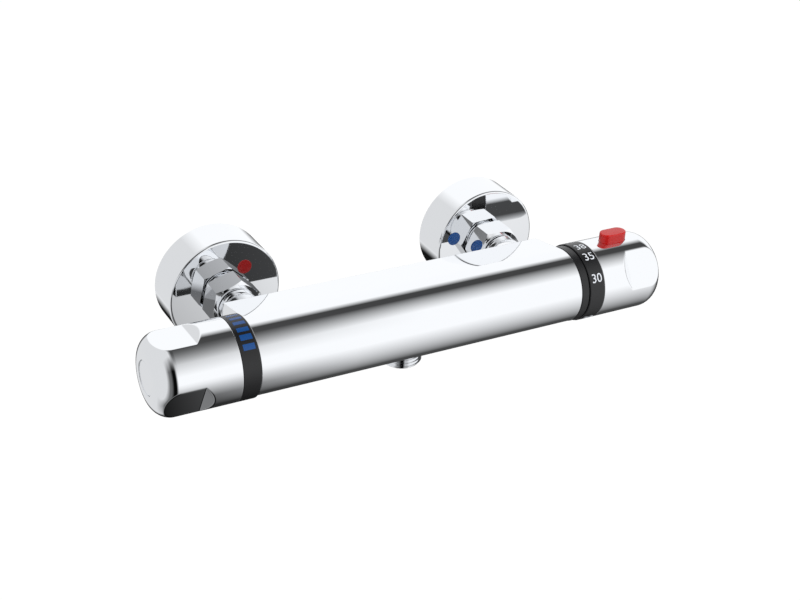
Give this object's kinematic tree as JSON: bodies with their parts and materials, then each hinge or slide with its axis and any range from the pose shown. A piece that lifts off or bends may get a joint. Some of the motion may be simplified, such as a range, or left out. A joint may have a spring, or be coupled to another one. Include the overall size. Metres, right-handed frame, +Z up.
{
  "type": "thermostatic shower valve",
  "caption": "Wall-mounted chrome bar valve that mixes hot and cold water to a set temperature for a shower hose below.",
  "frame": {"origin": "on the finished wall plane, midway between the two inlet axes, at their height", "axes": "+X along the bar from the hot to the cold inlet, +Y into the wall, +Z up; the user stands at -Y"},
  "size_m": [0.2744, 0.1123, 0.0595],
  "materials": {
    "chrome_plate": "polished chrome plate on brass",
    "red_marker": "printed red dot",
    "blue_marker": "printed blue dot",
    "black_plastic": "satin black, printed scale",
    "red_plastic": "moulded red",
    "white_plastic": "moulded acetal",
    "orange_plastic": "moulded acetal",
    "shuttle_plastic": "moulded glass-filled plastic",
    "black_rubber": "nitrile rubber",
    "raw_brass": "turned brass",
    "spring_steel": "stainless steel",
    "valve_ceramic": "lapped ceramic"
  },
  "bodies": {
    "valve": {"wall_union_hot": "chrome_plate", "wall_union_cold": "chrome_plate", "wall_flange_hot": "chrome_plate", "wall_flange_cold": "chrome_plate", "hot_marker": "red_marker", "cold_marker": "blue_marker", "union_nut_hot": "chrome_plate", "union_nut_cold": "chrome_plate", "inlet_seal_hot": "black_rubber", "inlet_seal_cold": "black_rubber", "inlet_tail_hot": "chrome_plate", "inlet_tail_cold": "chrome_plate", "check_cage_hot": "white_plastic", "check_cage_cold": "white_plastic", "check_spring_hot": "spring_steel", "check_spring_cold": "spring_steel", "valve_body": "chrome_plate", "outlet_nipple": "chrome_plate", "outlet_seal": "black_rubber", "flow_seal": "black_rubber", "flow_fixed_disc": "valve_ceramic", "flow_cartridge_housing": "raw_brass", "flow_housing_oring": "black_rubber", "thermostat_housing": "raw_brass", "thermostat_orings": "black_rubber", "return_spring": "spring_steel", "cartridge_nut": "raw_brass", "index_ring": "black_plastic", "travel_stop_ring": "white_plastic"},
    "flow_control": {"flow_turning_disc": "valve_ceramic", "flow_spindle": "raw_brass", "flow_spindle_orings": "black_rubber", "flow_spindle_clip": "spring_steel", "flow_stop_ring": "white_plastic", "flow_scale_ring": "black_plastic", "flow_knob": "chrome_plate", "flow_knob_insert": "white_plastic", "flow_knob_screw": "spring_steel", "flow_knob_cap": "chrome_plate"},
    "temperature_control": {"temp_spindle": "raw_brass", "temp_spindle_oring": "black_rubber", "temp_dial_ring": "black_plastic", "temp_knob": "chrome_plate", "temp_knob_insert": "white_plastic", "temp_knob_screw": "spring_steel", "temp_knob_cap": "chrome_plate", "button_guide": "red_plastic", "button_spring": "spring_steel"},
    "button": {"safety_button": "red_plastic"},
    "mixing_unit": {"regulating_shuttle": "shuttle_plastic", "wax_element": "raw_brass", "adjuster_piston": "white_plastic"},
    "hot_poppet": {"check_poppet_hot": "orange_plastic"},
    "cold_poppet": {"check_poppet_cold": "orange_plastic"}
  },
  "joints": [
    {"name": "flow_turn", "type": "hinge", "parent": "valve", "child": "flow_control", "pos_m": [-0.0893, -0.0775, 0], "axis": [-1, 0, 0], "range_deg": [0, 90]},
    {"name": "temperature_turn", "type": "hinge", "parent": "valve", "child": "temperature_control", "pos_m": [0.0851, -0.0775, 0], "axis": [1, 0, 0], "range_deg": [-141, 62]},
    {"name": "button_press", "type": "slide", "parent": "temperature_control", "child": "button", "axis": [0, 0, -1], "range_m": [0, 0.002], "stiffness_N_per_m": 800, "springref_m": -0.001, "deforming": ["button_spring"]},
    {"name": "mixing_travel", "type": "slide", "parent": "valve", "child": "mixing_unit", "axis": [1, 0, 0], "range_m": [-0.0016, 0.0007], "deforming": ["return_spring"]},
    {"name": "hot_check_travel", "type": "slide", "parent": "valve", "child": "hot_poppet", "axis": [0, -1, 0], "range_m": [0, 0.0025], "stiffness_N_per_m": 200, "springref_m": -0.002, "deforming": ["check_spring_hot"]},
    {"name": "cold_check_travel", "type": "slide", "parent": "valve", "child": "cold_poppet", "axis": [0, -1, 0], "range_m": [0, 0.0025], "stiffness_N_per_m": 200, "springref_m": -0.002, "deforming": ["check_spring_cold"]}
  ],
  "couplings": [
    {"joint": "mixing_travel", "follows": "temperature_turn", "m_per_rad": 0.0006366}
  ]
}
